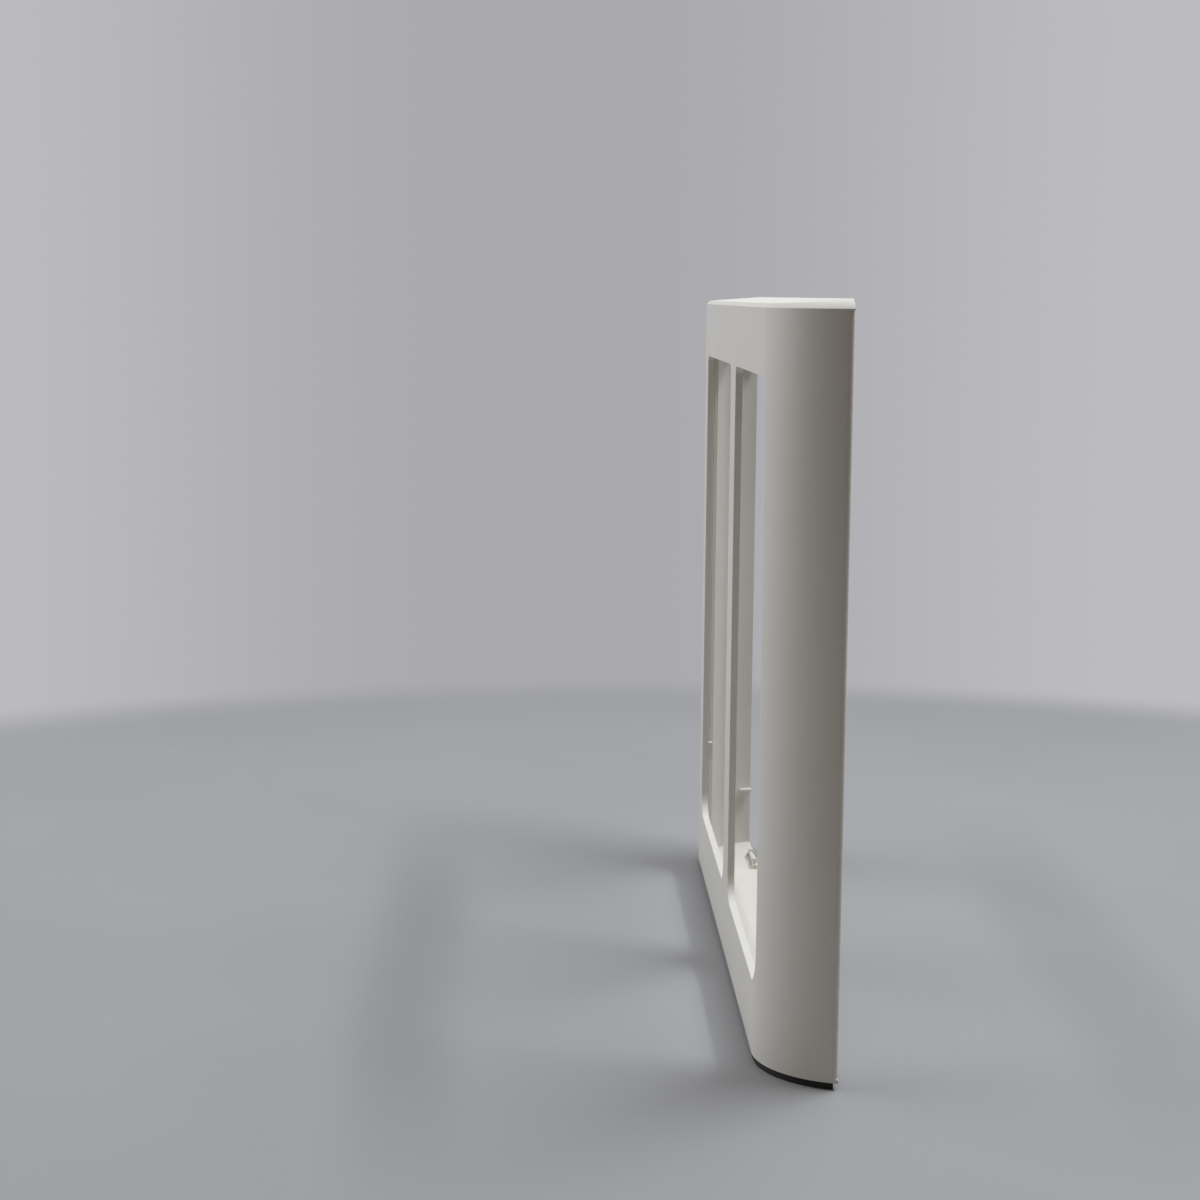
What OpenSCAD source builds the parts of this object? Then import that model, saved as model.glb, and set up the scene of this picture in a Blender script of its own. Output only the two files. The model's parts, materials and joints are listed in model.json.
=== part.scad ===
// Open-backed front frame of a gate panel: a flat face with two tall windows,
// two curved side covers, two end caps, a rubber foot and four snap catches.
// Origin at the middle of the base. +Z is up, the face looks along -Y,
// and right means +X.

/* [Frame] */
// Width over both side covers
frame_w = 264; // [220:1:330]
// Height over both end caps
frame_h = 200; // [150:1:260]
// Depth from the face to the back rim
frame_d = 20; // [17:0.5:25]
// Thickness of the face and of the side covers
wall = 2.1; // [1.6:0.1:3]

/* [Windows] */
// Width of face to the right of the right window
right_border = 21; // [20:0.5:40]
// Width of the right window
right_window_w = 91; // [60:1:110]
// Width of the mullion between the windows
mullion_w = 17; // [10:0.5:30]
// Width of face to the left of the left window
left_border = 36; // [20:0.5:50]
// Height of face above the windows
top_border = 20; // [15:0.5:40]
// Height of face below the windows
bottom_border = 21; // [15:0.5:40]
// Radius of the lower corners of the windows
window_r = 8; // [1:0.5:10]
// Radius of the upper corners of the windows
window_top_r = 2.5; // [1:0.5:10]

/* [Side covers] */
// Outer radius of the curve from the face to the back rim
side_r = 26; // [25.5:0.5:40]
// Width of each side cover, from the end of the frame to its seam
cover_w = 14; // [12:0.5:16]
// Width of the tongue that laps behind the face
tongue_w = 3; // [2:0.5:4]
// Thickness of the tongue
tongue_t = 1.2; // [0.8:0.1:1.6]

/* [Caps and foot] */
// Thickness of the top cap, and of the bottom cap with its foot
cap_t = 2.8; // [2.6:0.1:3.4]
// Height of the rubber foot
foot_h = 1.9; // [1:0.1:2]
// How far the foot is set back from the outline
foot_setback = 0.5; // [0.2:0.1:2]
// How far the foot is set in from the back rim
foot_back_inset = 1.2; // [0.2:0.1:2]
// Bevel round the edge of the top cap
top_bevel = 1.1; // [0.3:0.1:1.1]
// Height by which the top rises from its front edge to the back rim
slope_h = 1.4; // [0.6:0.1:1.4]
// How far the ends of the top lean in over that height
end_lean = 3; // [0.4:0.1:4]

/* [Catches] */
// Distance of each catch's middle from the end of the frame
catch_inset = 33.5; // [28:0.5:40]
// Length of the catch blade
catch_len = 17; // [12:0.5:20]
// Height of the blade's ends above the cap
catch_h = 3.4; // [3.3:0.1:5]
// How far the blade's middle lies below its ends
blade_dip = 0.8; // [0.4:0.1:1]
// Thickness of the blade
blade_t = 1; // [0.8:0.1:1.1]
// Reach of the teeth behind the blade
tooth_reach = 1; // [0.6:0.1:1.1]
// Width of each tooth
tooth_w = 3.5; // [2:0.5:5]
// Height of the sloping lead of a tooth
tooth_h = 1.4; // [1:0.1:1.5]
// Distance of the pivot from the back rim
pivot_inset = 1.8; // [1.8:0.1:2]
// Radius of the rounded root of the blade
knuckle_r = 0.5; // [0.45:0.05:0.6]
// Radius of the pivots at the ends of the root
pivot_r = 0.3; // [0.25:0.05:0.35]
// Thickness of the seat under the catch
seat_t = 0.3; // [0.3:0.1:0.5]
// Thickness of the seat's two ears
ear_t = 1; // [0.8:0.1:2]
// Height of the ears above the cap
ear_h = 1.5; // [1.5:0.1:2]
// Depth of the seat and of the foot of its ears
ear_d = 3.2; // [3:0.1:4]
// Depth of the top of the ears
ear_top_d = 1.1; // [0.9:0.1:1.3]

/* [Ledges and stops] */
// Height of the ledges from the nearer end of the frame
ledge_z = 22.2; // [16:0.2:40]
// Thickness of a ledge
ledge_t = 0.8; // [0.6:0.1:1.5]
// Reach of a ledge from the side cover
ledge_reach = 2.5; // [2:0.5:6]
// Length of a ledge along the depth
ledge_d = 4.2; // [3:0.1:5]
// Reach of the pane stops behind the face
stop_reach = 1.3; // [1:0.1:2]
// Width of a pane stop
stop_w = 2.4; // [2:0.1:3]
// Length of the two lower pane stops
lower_stop_len = 6; // [4:0.5:16]
// Length of the two upper pane stops
upper_stop_len = 5; // [4:0.5:8]
// Distance of the lower stops from the bottom of the window
lower_stop_gap = 19; // [9:0.5:30]
// Distance of the upper stops from the top of the window
upper_stop_gap = 7; // [6:0.5:30]

/* [Clearances] */
// Gap between the tongue and the back of the face
tongue_gap = 0.1; // [0.05:0.05:0.2]
// Radial gap between a pivot and its bore
pivot_gap = 0.05; // [0.03:0.01:0.08]
// Gap between the blade's root and the seat
root_gap = 0.1; // [0.1:0.05:0.2]
// Gap between the blade and the ears
ear_gap = 0.25; // [0.2:0.05:0.4]

/* [Hidden] */
$fn = 180;
cream = [0.86, 0.85, 0.80];
rubber = [0.10, 0.10, 0.10];

// Cuts run past the faces that they open by this much
past = 1;

front_y = -frame_d / 2;
back_y = frame_d / 2;
end_x = frame_w / 2;

// The side curve is an arc that leaves the face at a tangent
curve_y = front_y + side_r;
curve_reach = sqrt(side_r * side_r - pow(side_r - frame_d, 2));
curve_x = end_x - curve_reach;
inner_r = side_r - wall;
seam_x = end_x - cover_w;

window_z = bottom_border;
window_h = frame_h - bottom_border - top_border;
right_window_x = end_x - right_border - right_window_w;
left_window_x = -end_x + left_border;
left_window_w = right_window_x - mullion_w - left_window_x;

catch_x = end_x - catch_inset;
pivot_y = back_y - pivot_inset;
pivot_z = cap_t + seat_t + root_gap + knuckle_r;
seat_len = catch_len + 2 * (ear_gap + ear_t);

upper_stop_z = window_z + window_h - upper_stop_gap - upper_stop_len;
lower_stop_z = window_z + lower_stop_gap;

// Puts a lower right piece into one of the four corners
module corner(left = false, upper = false) {
    translate([0, 0, upper ? frame_h : 0])
        mirror([0, 0, upper ? 1 : 0])
            mirror([left ? 1 : 0, 0, 0])
                children();
}

// Plan of the frame, with the front brought back by inset
module plan(inset) {
    r = side_r - inset;
    translate([-curve_x, front_y + inset])
        square([2 * curve_x, frame_d - inset]);
    intersection() {
        for (side = [-1, 1])
            translate([side * curve_x, curve_y])
                circle(r);
        translate([-frame_w, front_y])
            square([2 * frame_w, frame_d]);
    }
}

// Face and side covers in one piece, before the seams part them
module shell() {
    translate([0, 0, cap_t])
        linear_extrude(frame_h - 2 * cap_t)
            difference() {
                plan(0);
                intersection() {
                    plan(wall);
                    translate([-frame_w, front_y])
                        square([2 * frame_w, frame_d]);
                }
                translate([-curve_x, back_y - past])
                    square([2 * curve_x, 2 * past]);
            }
}

// Rectangle with radius r at its lower corners and top_r at its upper ones
module rounded_rect(w, h, r, top_r) {
    translate([r, 0])
        square([w - 2 * r, r]);
    translate([0, r])
        square([w, h - r - top_r]);
    translate([top_r, h - top_r])
        square([w - 2 * top_r, top_r]);
    for (x = [r, w - r])
        translate([x, r])
            circle(r);
    for (x = [top_r, w - top_r])
        translate([x, h - top_r])
            circle(top_r);
}

module window_cut(x, w) {
    translate([x, back_y, window_z])
        rotate([90, 0, 0])
            linear_extrude(frame_d + past)
                rounded_rect(w, window_h, window_r, window_top_r);
}

module face_panel() {
    color(cream)
        difference() {
            intersection() {
                shell();
                translate([-seam_x, front_y - past, 0])
                    cube([2 * seam_x, frame_d, frame_h]);
            }
            window_cut(right_window_x, right_window_w);
            window_cut(left_window_x, left_window_w);
        }
}

// Part of a ring round the right side curve, from x0 to x1
module curve_strip(r_out, r_in, x0, x1) {
    translate([0, 0, cap_t])
        linear_extrude(frame_h - 2 * cap_t)
            intersection() {
                translate([curve_x, curve_y])
                    difference() {
                        circle(r_out);
                        circle(r_in);
                    }
                translate([x0, front_y])
                    square([x1 - x0, frame_d]);
            }
}

// The tongue laps behind the face and joins the cover beside the seam
module side_cover() {
    tongue_r = inner_r - tongue_gap;
    curve_strip(side_r, inner_r, seam_x, end_x + past);
    curve_strip(tongue_r, tongue_r - tongue_t, seam_x - tongue_w, seam_x + tongue_w);
    curve_strip(side_r - wall / 2, tongue_r - tongue_t, seam_x, seam_x + tongue_w);
}

module right_side_cover() {
    color(cream)
        side_cover();
}

module left_side_cover() {
    color(cream)
        corner(left = true)
            side_cover();
}

// Slab over the plan, from z0 up by h, whose outline is set back by
// inset0 at the bottom and by inset1 at the top
module bevel_slab(z0, h, inset0, inset1) {
    translate([-curve_x, 0, 0])
        rotate([90, 0, 90])
            linear_extrude(2 * curve_x)
                polygon([
                    [front_y + inset0, z0],
                    [back_y, z0],
                    [back_y, z0 + h],
                    [front_y + inset1, z0 + h]
                ]);
    intersection() {
        for (side = [-1, 1])
            translate([side * curve_x, curve_y, z0])
                cylinder(h = h, r1 = side_r - inset0, r2 = side_r - inset1);
        translate([-end_x, front_y, z0])
            cube([frame_w, frame_d, h]);
    }
}

// Bottom cap, a plate that lies on the foot
module bottom_cap() {
    color(cream)
        bevel_slab(foot_h, cap_t - foot_h, 0, 0);
}

module base_foot() {
    color(rubber)
        linear_extrude(foot_h)
            intersection() {
                plan(foot_setback);
                translate([-end_x, front_y])
                    square([frame_w, frame_d - foot_back_inset]);
            }
}

// Extrudes an outline drawn in Y and Z along X, from x0 over len
module along_x(x0, len) {
    translate([x0, 0, 0])
        rotate([90, 0, 90])
            linear_extrude(len)
                children();
}

// Top cap, with a bevel and a top that rises gently towards the back rim
module top_cap() {
    slope_z = frame_h - slope_h;
    bevel_z = slope_z - top_bevel;
    low_z = frame_h - cap_t;
    color(cream) {
        bevel_slab(low_z, bevel_z - low_z, 0, 0);
        bevel_slab(bevel_z, top_bevel, 0, top_bevel);
        intersection() {
            bevel_slab(slope_z, slope_h, top_bevel, top_bevel + end_lean);
            along_x(-end_x, frame_w)
                polygon([
                    [front_y + top_bevel, slope_z],
                    [back_y, slope_z],
                    [back_y, frame_h]
                ]);
        }
    }
}

// Seat of a catch: a strip on the cap with a gusset ear at each end
module catch_seat() {
    ear_back = back_y - ear_gap;
    ear_front = ear_back - ear_d;
    difference() {
        union() {
            along_x(catch_x - seat_len / 2, seat_len)
                translate([ear_front, cap_t])
                    square([ear_d, seat_t]);
            for (x0 = [catch_x - seat_len / 2, catch_x + seat_len / 2 - ear_t])
                along_x(x0, ear_t)
                    polygon([
                        [ear_front, cap_t],
                        [ear_back, cap_t],
                        [pivot_y + ear_top_d / 2, cap_t + ear_h],
                        [pivot_y - ear_top_d / 2, cap_t + ear_h]
                    ]);
        }
        along_x(catch_x - seat_len / 2 - past, seat_len + 2 * past)
            translate([pivot_y, pivot_z])
                circle(pivot_r + pivot_gap);
    }
}

// Catch: a blade with a rounded root and end pivots, whose raised ends
// carry two teeth that point back
module catch() {
    top_z = cap_t + catch_h;
    blade_front = pivot_y - blade_t / 2;
    blade_back = pivot_y + blade_t / 2;
    along_x(catch_x - catch_len / 2, catch_len) {
        translate([pivot_y, pivot_z])
            circle(knuckle_r);
        translate([blade_front, pivot_z])
            square([blade_t, top_z - blade_dip - pivot_z]);
    }
    along_x(catch_x - seat_len / 2, seat_len)
        translate([pivot_y, pivot_z])
            circle(pivot_r);
    for (x0 = [catch_x - catch_len / 2, catch_x + catch_len / 2 - tooth_w])
        along_x(x0, tooth_w)
            polygon([
                [blade_front, top_z - tooth_h],
                [blade_back + tooth_reach, top_z - tooth_h],
                [blade_back, top_z],
                [blade_front, top_z]
            ]);
}

module lower_left_catch_seat() {
    color(cream)
        corner(left = true)
            catch_seat();
}

module lower_right_catch_seat() {
    color(cream)
        corner()
            catch_seat();
}

module upper_left_catch_seat() {
    color(cream)
        corner(left = true, upper = true)
            catch_seat();
}

module upper_right_catch_seat() {
    color(cream)
        corner(upper = true)
            catch_seat();
}

module lower_left_catch() {
    color(cream)
        corner(left = true)
            catch();
}

module lower_right_catch() {
    color(cream)
        corner()
            catch();
}

module upper_left_catch() {
    color(cream)
        corner(left = true, upper = true)
            catch();
}

module upper_right_catch() {
    color(cream)
        corner(upper = true)
            catch();
}

// Ledge on the inside of a side cover, level with the back rim
module ledge() {
    rim_x = curve_x + sqrt(inner_r * inner_r - pow(curve_y - back_y + ledge_d, 2));
    translate([0, 0, ledge_z])
        linear_extrude(ledge_t)
            intersection() {
                translate([curve_x, curve_y])
                    circle(inner_r);
                translate([rim_x - ledge_reach, back_y - ledge_d])
                    square([ledge_reach + wall, ledge_d]);
            }
}

module lower_left_ledge() {
    color(cream)
        corner(left = true)
            ledge();
}

module lower_right_ledge() {
    color(cream)
        corner()
            ledge();
}

module upper_left_ledge() {
    color(cream)
        corner(left = true, upper = true)
            ledge();
}

module upper_right_ledge() {
    color(cream)
        corner(upper = true)
            ledge();
}

// Stop on the back of the face for a window pane, with its edge at x.
// It reaches away from the window and follows the back of the face.
module pane_stop(x, z, len) {
    translate([0, 0, z])
        linear_extrude(len)
            intersection() {
                difference() {
                    plan(wall);
                    plan(wall + stop_reach);
                }
                translate([x, front_y])
                    square([stop_w, frame_d / 2]);
            }
}

module lower_left_pane_stop() {
    color(cream)
        corner(left = true)
            pane_stop(-left_window_x, lower_stop_z, lower_stop_len);
}

module lower_right_pane_stop() {
    color(cream)
        pane_stop(right_window_x + right_window_w, lower_stop_z, lower_stop_len);
}

module upper_left_pane_stop() {
    color(cream)
        corner(left = true)
            pane_stop(-left_window_x, upper_stop_z, upper_stop_len);
}

module upper_right_pane_stop() {
    color(cream)
        pane_stop(right_window_x + right_window_w, upper_stop_z, upper_stop_len);
}

face_panel();
right_side_cover();
left_side_cover();
top_cap();
bottom_cap();
base_foot();
lower_left_catch_seat();
lower_right_catch_seat();
upper_left_catch_seat();
upper_right_catch_seat();
lower_left_catch();
lower_right_catch();
upper_left_catch();
upper_right_catch();
lower_left_ledge();
lower_right_ledge();
upper_left_ledge();
upper_right_ledge();
lower_left_pane_stop();
lower_right_pane_stop();
upper_left_pane_stop();
upper_right_pane_stop();
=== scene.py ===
"""Open-backed front frame of a gate panel, standing on a plain pale floor."""
import json
import math

import bmesh
import bpy
from mathutils import Matrix, Vector


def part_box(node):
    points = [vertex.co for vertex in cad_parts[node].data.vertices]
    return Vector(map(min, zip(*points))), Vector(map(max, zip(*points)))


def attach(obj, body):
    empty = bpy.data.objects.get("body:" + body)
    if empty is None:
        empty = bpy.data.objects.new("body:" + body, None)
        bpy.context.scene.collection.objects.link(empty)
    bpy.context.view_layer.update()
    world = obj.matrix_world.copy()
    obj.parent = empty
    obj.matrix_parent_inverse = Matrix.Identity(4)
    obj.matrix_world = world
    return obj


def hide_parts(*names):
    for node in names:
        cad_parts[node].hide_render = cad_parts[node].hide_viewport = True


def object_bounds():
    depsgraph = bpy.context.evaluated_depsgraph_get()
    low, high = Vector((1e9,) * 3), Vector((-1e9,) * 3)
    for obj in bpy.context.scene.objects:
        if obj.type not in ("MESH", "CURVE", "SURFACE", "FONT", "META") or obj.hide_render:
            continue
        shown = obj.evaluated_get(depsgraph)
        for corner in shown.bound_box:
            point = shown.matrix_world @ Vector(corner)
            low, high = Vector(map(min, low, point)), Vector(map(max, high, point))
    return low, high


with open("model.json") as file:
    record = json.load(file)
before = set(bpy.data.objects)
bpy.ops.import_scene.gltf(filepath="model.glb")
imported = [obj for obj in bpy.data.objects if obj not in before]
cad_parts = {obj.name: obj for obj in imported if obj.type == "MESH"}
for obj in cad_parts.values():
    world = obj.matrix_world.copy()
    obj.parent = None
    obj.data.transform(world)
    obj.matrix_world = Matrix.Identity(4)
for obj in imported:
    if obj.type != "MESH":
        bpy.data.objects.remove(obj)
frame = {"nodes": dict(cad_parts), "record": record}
cad_lo, cad_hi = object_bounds()

MM = 0.001

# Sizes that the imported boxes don't give, as they are in the CAD model
WALL = 2.1 * MM
SIDE_R = 26 * MM
WINDOW_R = 8 * MM
WINDOW_TOP_R = 2.5 * MM
OPENING_MARGIN = 2.4 * MM
TONGUE_W = 3 * MM
TONGUE_T = 1.2 * MM
TONGUE_GAP = 0.1 * MM
FOOT_SETBACK = 0.5 * MM
FOOT_BACK_INSET = 1.2 * MM
TOP_BEVEL = 1.1 * MM
SLOPE_H = 1.4 * MM
END_LEAN = 3 * MM

# Radii that only the looks need
WINDOW_FRONT_R = 0.15 * MM
WINDOW_BACK_R = 0.08 * MM
RIM_OUTER_R = 1.0 * MM
RIM_INNER_R = 0.3 * MM
CAP_EDGE_R = 0.2 * MM
FOOT_EDGE_R = 0.3 * MM
SMALL_EDGE_R = {"catch_seat": 0.1 * MM, "catch": 0.1 * MM, "ledge": 0.15 * MM, "pane_stop": 0.2 * MM}

# Lamps by name, place, width and depth in metres, and power in watts
LAMPS = (
    ("key", (-0.3, -1.0, 0.5), (0.9, 0.7), 3.5),
    ("back", (-0.1, 0.42, 1.12), (0.9, 0.6), 6.4),
    ("back_strip", (-0.05, 0.49, 1.12), (0.7, 0.05), 3.4),
    ("front_strip", (-0.05, -0.49, 1.12), (0.7, 0.05), 2.0),
)
LAMP_AIM = (0, 0, 0.1)

# The slightly cool white of every lamp
LAMP_TINT = (0.972, 1.0, 1.05)

# The camera's turns in radians, and its place past the right end, ahead of
# the face and above the floor as shares of the frame's height
CAMERA_YAW, CAMERA_PITCH, CAMERA_ROLL = 0.0241, -0.1298, 0.0091
CAMERA_PAST, CAMERA_AHEAD, CAMERA_UP = 2.863, 0.2775, 1.002
CAMERA_LENS = 70.2

# The floor, how far out it starts to fade and how far it lies under the foot
FLOOR_X = 0.05
FLOOR_R = 0.57
FLOOR_FADE_R = 0.49
FLOOR_GAP = 0.02 * MM

# The backdrop straight along the frame and to its sides, and the dim, warm
# room past its right end, with the directions over which each fades in
BACKDROP_MIDDLE = (0.400, 0.400, 0.424, 1)
BACKDROP_SIDE = (0.505, 0.500, 0.522, 1)
BACKDROP_FADE = (0.03, 0.26)
ROOM = (0.088, 0.070, 0.046, 1)
ROOM_FADE = (-0.5, 0.25)

# Steps round the curves
CORNER_STEPS = 14
EDGE_STEPS = 4
CURVE_STEP = math.radians(1.25)
EDGE_ANGLE = math.radians(25)
DEGENERATE = 1e-6
MERGE = 1e-7
SMOOTH_ANGLE = math.radians(32)

# Colour sockets of a mix node, which share their names with its other sockets
MIX_FIRST, MIX_SECOND, MIX_RESULT = 6, 7, 2

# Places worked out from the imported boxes
panel_lo, panel_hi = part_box("face_panel")
FRONT, BACK = cad_lo.y, cad_hi.y
DEPTH = BACK - FRONT
CAP_T = panel_lo.z - cad_lo.z
FOOT_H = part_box("bottom_cap")[0].z - cad_lo.z
SEAM_X = panel_hi.x
CURVE_Y = FRONT + SIDE_R
CURVE_X = cad_hi.x - math.sqrt(SIDE_R**2 - (SIDE_R - DEPTH) ** 2)
INNER_R = SIDE_R - WALL
openings = {o["name"]: o["box_m"] for o in frame["record"]["physics"]["openings"]}


# ---------------------------------------------------------------- materials


def node_tree(name):
    material = bpy.data.materials.new(name)
    material.use_nodes = True
    tree = material.node_tree
    return material, tree, tree.nodes["Principled BSDF"]


def place_noise(tree, scale, detail, coords):
    noise = tree.nodes.new("ShaderNodeTexNoise")
    noise.inputs["Scale"].default_value = scale
    noise.inputs["Detail"].default_value = detail
    tree.links.new(coords.outputs["Object"], noise.inputs["Vector"])
    return noise


def ramp(tree, source, low, high):
    """Maps 0.3 to 0.7 of a noise to two colours."""
    node = tree.nodes.new("ShaderNodeValToRGB")
    node.color_ramp.elements[0].position = 0.3
    node.color_ramp.elements[1].position = 0.7
    node.color_ramp.elements[0].color = (*low, 1)
    node.color_ramp.elements[1].color = (*high, 1)
    tree.links.new(source, node.inputs["Fac"])
    return node


def span(tree, source, low, high):
    node = tree.nodes.new("ShaderNodeMapRange")
    node.inputs["To Min"].default_value = low
    node.inputs["To Max"].default_value = high
    tree.links.new(source, node.inputs["Value"])
    return node


def bump(tree, shader, heights):
    """Chains bumps of (noise output, height in metres, strength) onto a shader."""
    last = None
    for source, height, strength in heights:
        node = tree.nodes.new("ShaderNodeBump")
        node.inputs["Strength"].default_value = strength
        node.inputs["Distance"].default_value = height
        tree.links.new(source, node.inputs["Height"])
        if last:
            tree.links.new(last.outputs["Normal"], node.inputs["Normal"])
        last = node
    tree.links.new(last.outputs["Normal"], shader.inputs["Normal"])


def cream_plastic():
    """Satin moulded plastic: spark-eroded grain, faint flow mottling, even warmth."""
    material, tree, shader = node_tree("cream_plastic")
    coords = tree.nodes.new("ShaderNodeTexCoord")
    flow = place_noise(tree, 28, 3, coords)
    grain = place_noise(tree, 2600, 2, coords)
    pores = place_noise(tree, 900, 1, coords)
    tint = ramp(tree, flow.outputs["Fac"], (0.754, 0.736, 0.678), (0.784, 0.766, 0.708))
    tree.links.new(tint.outputs["Color"], shader.inputs["Base Color"])
    rough = span(tree, pores.outputs["Fac"], 0.42, 0.56)
    tree.links.new(rough.outputs["Result"], shader.inputs["Roughness"])
    grains = [(grain.outputs["Fac"], 0.012 * MM, 0.6), (pores.outputs["Fac"], 0.01 * MM, 0.4)]
    bump(tree, shader, grains)
    shader.inputs["IOR"].default_value = 1.5
    return material


def floor_paper():
    material, tree, shader = node_tree("floor")
    coords = tree.nodes.new("ShaderNodeTexCoord")
    cloud = place_noise(tree, 6, 3, coords)
    fibre = place_noise(tree, 1500, 2, coords)
    tint = ramp(tree, cloud.outputs["Fac"], (0.344, 0.348, 0.355), (0.366, 0.370, 0.378))
    tree.links.new(tint.outputs["Color"], shader.inputs["Base Color"])
    bump(tree, shader, [(fibre.outputs["Fac"], 0.02 * MM, 0.4)])
    shader.inputs["Roughness"].default_value = 0.6
    return material


def foot_rubber():
    """Matt near-black with a fine grain and a faint dusty bloom. The near-black is painted shade: it
    gives the dark band under the base.
    """
    material, tree, shader = node_tree("foot_rubber")
    coords = tree.nodes.new("ShaderNodeTexCoord")
    bloom = place_noise(tree, 60, 4, coords)
    grain = place_noise(tree, 3200, 2, coords)
    tint = ramp(tree, bloom.outputs["Fac"], (0.012, 0.012, 0.012), (0.022, 0.022, 0.021))
    tree.links.new(tint.outputs["Color"], shader.inputs["Base Color"])
    rough = span(tree, bloom.outputs["Fac"], 0.66, 0.82)
    tree.links.new(rough.outputs["Result"], shader.inputs["Roughness"])
    bump(tree, shader, [(grain.outputs["Fac"], 0.02 * MM, 0.6)])
    return material


CREAM = cream_plastic()
# The foot's near-black material is painted shade for the dark band under the base
FOOT_SHADE_BLACK = foot_rubber()


# ---------------------------------------------------------------- mesh tools


def ring(bm, points, y=None, z=None):
    """Vertices round a closed loop, in the XZ plane at y or in the XY plane at z."""
    if z is None:
        return [bm.verts.new((a, y, b)) for a, b in points]
    return [bm.verts.new((a, b, z)) for a, b in points]


def bridge(bm, one, two):
    for i in range(len(one)):
        k = (i + 1) % len(one)
        bm.faces.new((one[i], one[k], two[k], two[i]))


def fill(bm, rings):
    """Fills the flat space inside the first ring and outside the others."""
    edges = []
    for verts in rings:
        for i in range(len(verts)):
            pair = (verts[i], verts[(i + 1) % len(verts)])
            edges.append(bm.edges.get(pair) or bm.edges.new(pair))
    bmesh.ops.triangle_fill(bm, edges=edges, use_beauty=True, use_dissolve=False)


def finish_piece(bm, name, node, material=None):
    """Turns a bmesh into a smooth piece of the frame that stands for a node."""
    bmesh.ops.remove_doubles(bm, verts=bm.verts[:], dist=MERGE)
    bmesh.ops.recalc_face_normals(bm, faces=bm.faces[:])
    mesh = bpy.data.meshes.new(name)
    bm.to_mesh(mesh)
    bm.free()
    piece = bpy.data.objects.new(name, mesh)
    bpy.context.scene.collection.objects.link(piece)
    mesh.materials.append(material or CREAM)
    smooth(piece)
    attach(piece, "frame")
    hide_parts(node)
    return piece


def smooth(piece):
    mesh = piece.data
    mesh.polygons.foreach_set("use_smooth", [True] * len(mesh.polygons))
    mesh.set_sharp_from_angle(angle=SMOOTH_ANGLE)
    weighted = piece.modifiers.new("weighted", "WEIGHTED_NORMAL")
    weighted.keep_sharp = True


def quarter(radius, steps):
    """(distance from the side, distance from the face) round a quarter circle."""
    turns = [math.pi / 2 * i / steps for i in range(steps + 1)]
    return [(radius * (1 - math.sin(a)), radius * (1 - math.cos(a))) for a in turns]


def arc(cx, cy, radius, start, end):
    """Points round an arc from start to end, as angles from straight ahead (-Y)."""
    steps = max(2, math.ceil(abs(end - start) / CURVE_STEP))
    turns = [start + (end - start) * i / steps for i in range(steps + 1)]
    return [(cx + radius * math.sin(a), cy - radius * math.cos(a)) for a in turns]


def curve_angle(x, radius):
    """Angle round the right side curve at which it passes x."""
    return math.asin((x - CURVE_X) / radius)


# ---------------------------------------------------------------- face panel


def shell_y(x, depth):
    """Y at x of the point that lies depth behind the face."""
    radius = SIDE_R - depth
    across = max(0.0, abs(x) - CURVE_X)
    return CURVE_Y - math.sqrt(radius**2 - across**2)


def window_loop(box, grow):
    (x0, _, z0), (x1, _, z1) = box
    low, high = WINDOW_R - OPENING_MARGIN, WINDOW_TOP_R - OPENING_MARGIN
    corners = (
        (x1 - high, z1 - high, WINDOW_TOP_R),
        (x0 + high, z1 - high, WINDOW_TOP_R),
        (x0 + low, z0 + low, WINDOW_R),
        (x1 - low, z0 + low, WINDOW_R),
    )
    points = []
    for turn, (cx, cz, radius) in enumerate(corners):
        for i in range(CORNER_STEPS + 1):
            a = math.pi / 2 * (turn + i / CORNER_STEPS)
            points.append((cx + (radius + grow) * math.cos(a), cz + (radius + grow) * math.sin(a)))
    return points


def build_face_panel():
    """A flat plate with its two windows, bent round the sides at its ends."""
    bm = bmesh.new()
    lo, hi = panel_lo, panel_hi
    outer = [(lo.x, lo.z), (hi.x, lo.z), (hi.x, hi.z), (lo.x, hi.z)]
    front, back = ring(bm, outer, y=0), ring(bm, outer, y=WALL)
    bridge(bm, front, back)
    front_rings, back_rings = [front], [back]
    behind = [(grow, WALL - depth) for grow, depth in quarter(WINDOW_BACK_R, EDGE_STEPS)]
    profile = quarter(WINDOW_FRONT_R, EDGE_STEPS) + behind[::-1]
    for name in ("left_window", "right_window"):
        loops = [ring(bm, window_loop(openings[name], grow), y=depth) for grow, depth in profile]
        for one, two in zip(loops, loops[1:]):
            bridge(bm, one, two)
        front_rings.append(loops[0])
        back_rings.append(loops[-1])
    fill(bm, front_rings)
    fill(bm, back_rings)
    bend = curve_angle(SEAM_X, SIDE_R)
    steps = math.ceil(bend / CURVE_STEP)
    for i in range(steps):
        x = CURVE_X + SIDE_R * math.sin(bend * i / steps)
        for side in (-1, 1):
            geometry = bm.verts[:] + bm.edges[:] + bm.faces[:]
            bmesh.ops.bisect_plane(bm, geom=geometry, plane_co=(side * x, 0, 0), plane_no=(1, 0, 0))
    for vert in bm.verts:
        vert.co.y = shell_y(vert.co.x, vert.co.y)
    finish_piece(bm, "face_panel_shell", "face_panel")


# ---------------------------------------------------------------- side covers


def rim_fillet(radius, outside):
    """Points round the back rim's edge, from the curve to the rim."""
    reach = SIDE_R - radius if outside else INNER_R + radius
    cy = BACK - radius
    cx = CURVE_X + math.sqrt(reach**2 - (cy - CURVE_Y) ** 2)
    lean = math.atan2(cx - CURVE_X, CURVE_Y - cy)
    start = lean if outside else lean - math.pi
    return arc_steps(cx, cy, radius, start, math.pi if outside else -math.pi), lean


def arc_steps(cx, cy, radius, start, end):
    turns = [start + (end - start) * i / EDGE_STEPS for i in range(EDGE_STEPS + 1)]
    return [(cx + radius * math.sin(a), cy - radius * math.cos(a)) for a in turns]


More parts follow.
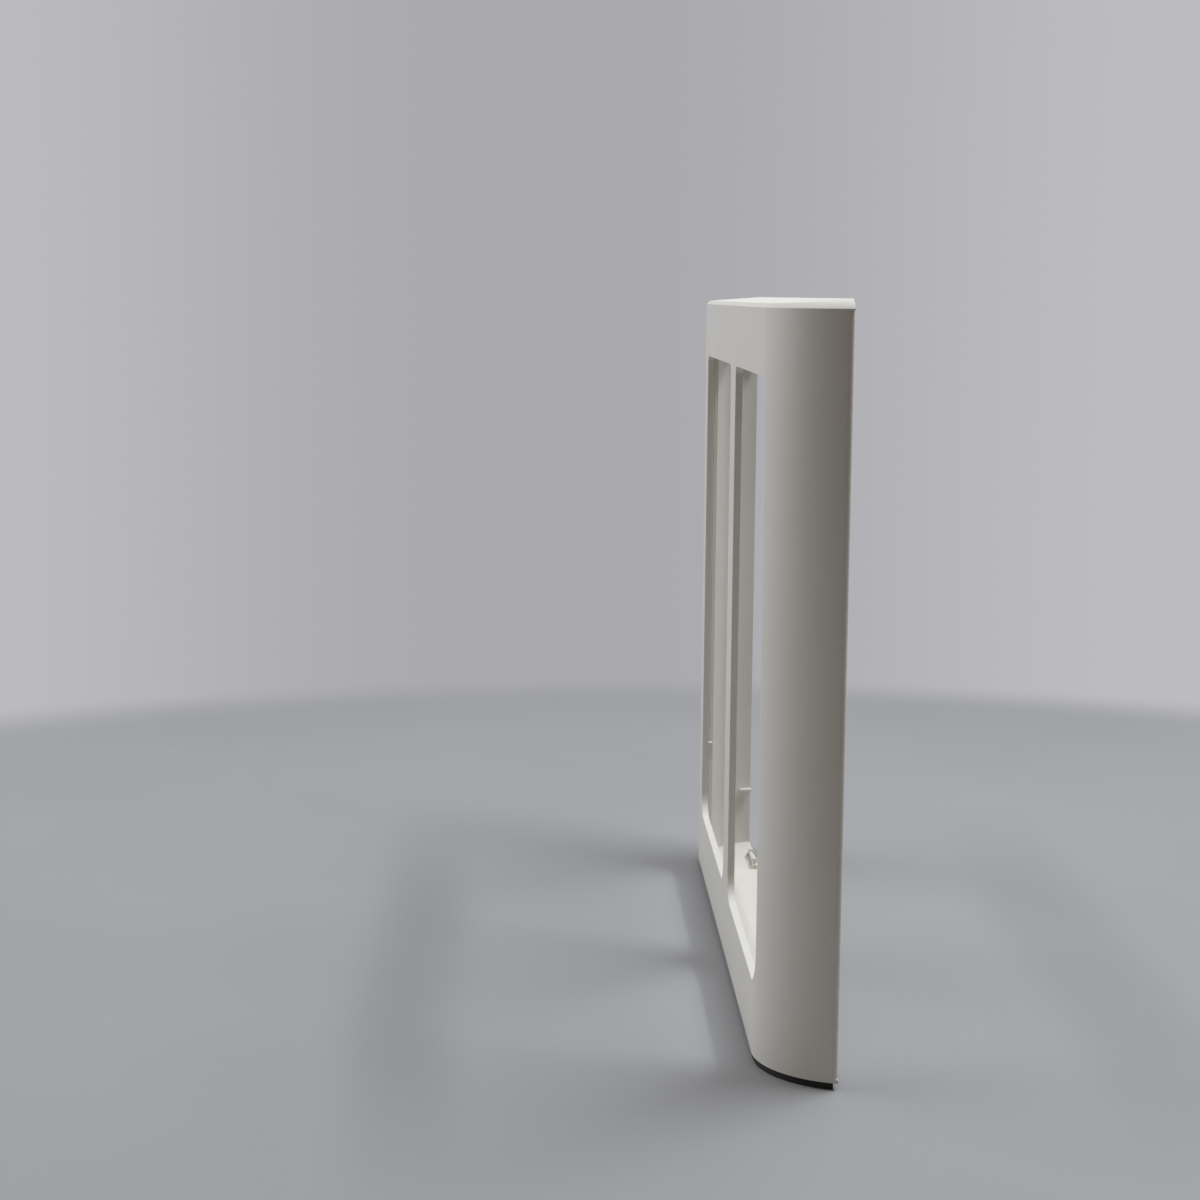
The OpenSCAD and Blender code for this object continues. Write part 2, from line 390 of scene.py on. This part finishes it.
def cover_outline():
    """Plan of the right side cover with its tongue, once round."""
    outer_edge, outer_lean = rim_fillet(RIM_OUTER_R, True)
    inner_edge, inner_lean = rim_fillet(RIM_INNER_R, False)
    tongue_out = INNER_R - TONGUE_GAP
    tongue_in = tongue_out - TONGUE_T
    root_x, tip_x = SEAM_X + TONGUE_W, SEAM_X - TONGUE_W

    def strip(radius, x0, x1):
        return arc(CURVE_X, CURVE_Y, radius, curve_angle(x0, radius), curve_angle(x1, radius))

    seam = curve_angle(SEAM_X, SIDE_R)
    return (
        arc(CURVE_X, CURVE_Y, SIDE_R, seam, outer_lean)
        + outer_edge[1:]
        + inner_edge[:0:-1]
        + arc(CURVE_X, CURVE_Y, INNER_R, inner_lean, curve_angle(root_x, INNER_R))
        + strip(tongue_in, root_x, tip_x)
        + strip(tongue_out, tip_x, SEAM_X)
        + strip(INNER_R, SEAM_X, SEAM_X)[:1]
    )


def build_side_cover(word, side):
    bm = bmesh.new()
    outline = cover_outline()
    low, high = ring(bm, outline, z=CAP_T), ring(bm, outline, z=cad_hi.z - CAP_T)
    bridge(bm, low, high)
    bm.faces.new(low)
    bm.faces.new(list(reversed(high)))
    if side < 0:
        bmesh.ops.transform(bm, matrix=Matrix.Scale(-1, 4, (1, 0, 0)), verts=bm.verts[:])
    finish_piece(bm, f"{word}_side_shell", f"{word}_side_cover")


# ---------------------------------------------------------------- end caps


def cap_outline(inset, back=BACK):
    """Plan of a cap, brought in by inset at its front and curved ends, and cut off at back."""
    radius = SIDE_R - inset
    lean = math.acos((CURVE_Y - back) / radius)
    steps = math.ceil(math.acos((CURVE_Y - BACK) / SIDE_R) / CURVE_STEP)
    turns = [lean * i / steps for i in range(steps + 1)]
    right = [(CURVE_X + radius * math.sin(a), CURVE_Y - radius * math.cos(a)) for a in turns]
    return [(-x, y) for x, y in reversed(right)] + right


def close_slab(bm, loops):
    for one, two in zip(loops, loops[1:]):
        bridge(bm, one, two)
    fill(bm, [loops[0]])
    fill(bm, [loops[-1]])


def build_slab(name, node, outline, z0, z1, edge, material=None):
    """A plate with upright edges."""
    bm = bmesh.new()
    close_slab(bm, [ring(bm, outline, z=z) for z in (z0, z1)])
    round_edges(finish_piece(bm, name, node, material), edge)


def top_edge():
    """Points round the edge of the sloping top: its lean-in grows with its rise."""
    low, high = cap_outline(TOP_BEVEL), cap_outline(TOP_BEVEL + END_LEAN)
    start, run = FRONT + TOP_BEVEL, DEPTH - TOP_BEVEL
    points = []
    for (x0, y0), (x1, y1) in zip(low, high):
        rise = min(1.0, (y0 - start) / (run - (y1 - y0)))
        x, y = x0 + (x1 - x0) * rise, y0 + (y1 - y0) * rise
        points.append((x, y, cad_hi.z - SLOPE_H + SLOPE_H * rise))
    return points


def build_top_cap():
    """A plate with a bevel round it and a top that rises towards the back rim."""
    bm = bmesh.new()
    bevel_z = cad_hi.z - SLOPE_H - TOP_BEVEL
    levels = ((cad_hi.z - CAP_T, 0), (bevel_z, 0), (bevel_z + TOP_BEVEL, TOP_BEVEL))
    loops = [ring(bm, cap_outline(inset), z=z) for z, inset in levels]
    loops.append([bm.verts.new(point) for point in top_edge()])
    close_slab(bm, loops)
    bmesh.ops.dissolve_degenerate(bm, dist=DEGENERATE, edges=bm.edges[:])
    round_edges(finish_piece(bm, "top_cap_plate", "top_cap"), CAP_EDGE_R)


def build_caps():
    foot = cap_outline(FOOT_SETBACK, BACK - FOOT_BACK_INSET)
    # The foot pad is near-black, which paints in the shaded band under the base
    build_slab("foot_pad", "base_foot", foot, 0, FOOT_H, FOOT_EDGE_R, FOOT_SHADE_BLACK)
    build_slab("bottom_cap_plate", "bottom_cap", cap_outline(0), FOOT_H, CAP_T, CAP_EDGE_R)
    build_top_cap()


# ---------------------------------------------------------------- CAD nodes that stay


def round_edges(piece, width):
    """Rounds a piece's edges with a modifier, ahead of its weighted normals."""
    bevel = piece.modifiers.new("edges", "BEVEL")
    bevel.width = width
    bevel.segments = 3
    bevel.limit_method = "ANGLE"
    bevel.angle_limit = EDGE_ANGLE
    bevel.use_clamp_overlap = True
    while piece.modifiers[0] != bevel:
        piece.modifiers.move(len(piece.modifiers) - 1, 0)


def soften(node, width):
    """Rounds a small CAD node's edges and gives it smooth shading."""
    piece = frame["nodes"][node]
    piece.data.polygons.foreach_set("use_smooth", [True] * len(piece.data.polygons))
    weighted = piece.modifiers.new("weighted", "WEIGHTED_NORMAL")
    weighted.keep_sharp = True
    round_edges(piece, width)


def dress(node, material):
    slots = frame["nodes"][node].data.materials
    slots.clear()
    slots.append(material)


def dress_small_parts():
    for height in ("lower", "upper"):
        for word in ("left", "right"):
            for part, radius in SMALL_EDGE_R.items():
                node = f"{height}_{word}_{part}"
                dress(node, CREAM)
                soften(node, radius)


# ---------------------------------------------------------------- stage


def build_floor():
    """A disc of paper that thins out to nothing towards its rim."""
    bm = bmesh.new()
    bmesh.ops.create_circle(bm, cap_ends=True, segments=160, radius=FLOOR_R)
    mesh = bpy.data.meshes.new("floor")
    bm.to_mesh(mesh)
    bm.free()
    floor = bpy.data.objects.new("floor", mesh)
    floor.location = (FLOOR_X, 0, cad_lo.z - FLOOR_GAP)
    bpy.context.scene.collection.objects.link(floor)
    material = floor_paper()
    fade_out(material, FLOOR_FADE_R, FLOOR_R)
    mesh.materials.append(material)


def fade_out(material, inner, outer):
    """Makes a material clear from one distance from the object's centre to another."""
    tree = material.node_tree
    coords = tree.nodes.new("ShaderNodeTexCoord")
    far = tree.nodes.new("ShaderNodeVectorMath")
    far.operation = "LENGTH"
    tree.links.new(coords.outputs["Object"], far.inputs[0])
    fade = span(tree, far.outputs["Value"], 0, 1)
    fade.interpolation_type = "SMOOTHSTEP"
    fade.inputs["From Min"].default_value = inner
    fade.inputs["From Max"].default_value = outer
    clear = tree.nodes.new("ShaderNodeBsdfTransparent")
    mix = tree.nodes.new("ShaderNodeMixShader")
    tree.links.new(fade.outputs["Result"], mix.inputs["Fac"])
    tree.links.new(tree.nodes["Principled BSDF"].outputs["BSDF"], mix.inputs[1])
    tree.links.new(clear.outputs["BSDF"], mix.inputs[2])
    tree.links.new(mix.outputs["Shader"], tree.nodes["Material Output"].inputs["Surface"])


def area_light(name, place, size, power):
    light = bpy.data.lights.new(name, "AREA")
    light.shape = "RECTANGLE"
    light.size, light.size_y = size
    light.energy = power
    light.color = LAMP_TINT
    lamp = bpy.data.objects.new(name, light)
    lamp.location = place
    aim = Vector(LAMP_AIM) - Vector(place)
    lamp.rotation_euler = aim.to_track_quat("-Z", "Y").to_euler()
    bpy.context.scene.collection.objects.link(lamp)


def build_world():
    """Pale surroundings on the left side of the frame, dim and warm on its right side."""
    world = bpy.data.worlds.new("studio")
    bpy.context.scene.world = world
    world.use_nodes = True
    tree = world.node_tree
    coords = tree.nodes.new("ShaderNodeTexCoord")
    split = tree.nodes.new("ShaderNodeSeparateXYZ")
    tree.links.new(coords.outputs["Generated"], split.inputs["Vector"])
    aside = tree.nodes.new("ShaderNodeMath")
    aside.operation = "ABSOLUTE"
    tree.links.new(split.outputs["Y"], aside.inputs[0])
    backdrop = sky_mix(tree, aside.outputs["Value"], *BACKDROP_FADE)
    backdrop.inputs[MIX_FIRST].default_value = BACKDROP_MIDDLE
    backdrop.inputs[MIX_SECOND].default_value = BACKDROP_SIDE
    room = sky_mix(tree, split.outputs["X"], *ROOM_FADE)
    tree.links.new(backdrop.outputs[MIX_RESULT], room.inputs[MIX_FIRST])
    room.inputs[MIX_SECOND].default_value = ROOM
    tree.links.new(room.outputs[MIX_RESULT], tree.nodes["Background"].inputs["Color"])


def sky_mix(tree, source, low, high):
    """A colour mix that goes smoothly from its first colour at low to its second at high."""
    fade = span(tree, source, 0, 1)
    fade.interpolation_type = "SMOOTHSTEP"
    fade.inputs["From Min"].default_value = low
    fade.inputs["From Max"].default_value = high
    mix = tree.nodes.new("ShaderNodeMix")
    mix.data_type = "RGBA"
    tree.links.new(fade.outputs["Result"], mix.inputs["Factor"])
    return mix


def build_camera():
    """Stands off the right end of the frame, level with its top, looking down along it."""
    yaw, pitch, roll = CAMERA_YAW, CAMERA_PITCH, CAMERA_ROLL
    forward = Vector((-math.cos(pitch) * math.cos(yaw), math.cos(pitch) * math.sin(yaw), math.sin(pitch)))
    right = Vector((math.sin(yaw), math.cos(yaw), 0))
    up = right.cross(forward)
    axis_x = right * math.cos(roll) + up * math.sin(roll)
    axis_y = up * math.cos(roll) - right * math.sin(roll)
    height = cad_hi.z - cad_lo.z
    camera = bpy.data.objects.new("camera", bpy.data.cameras.new("camera"))
    camera.data.sensor_width = 36
    camera.data.lens = CAMERA_LENS
    turn = Matrix((axis_x, axis_y, -forward)).transposed()
    camera.matrix_world = turn.to_4x4()
    place = (cad_hi.x + CAMERA_PAST * height, FRONT - CAMERA_AHEAD * height, CAMERA_UP * height)
    camera.location = place
    camera.data.clip_start = 0.01
    camera.data.clip_end = 20
    bpy.context.scene.collection.objects.link(camera)
    bpy.context.scene.camera = camera


build_camera()
build_face_panel()
build_side_cover("right", 1)
build_side_cover("left", -1)
build_caps()
dress_small_parts()
build_floor()
for lamp in LAMPS:
    area_light(*lamp)
build_world()
bpy.context.scene.view_settings.view_transform = "Standard"
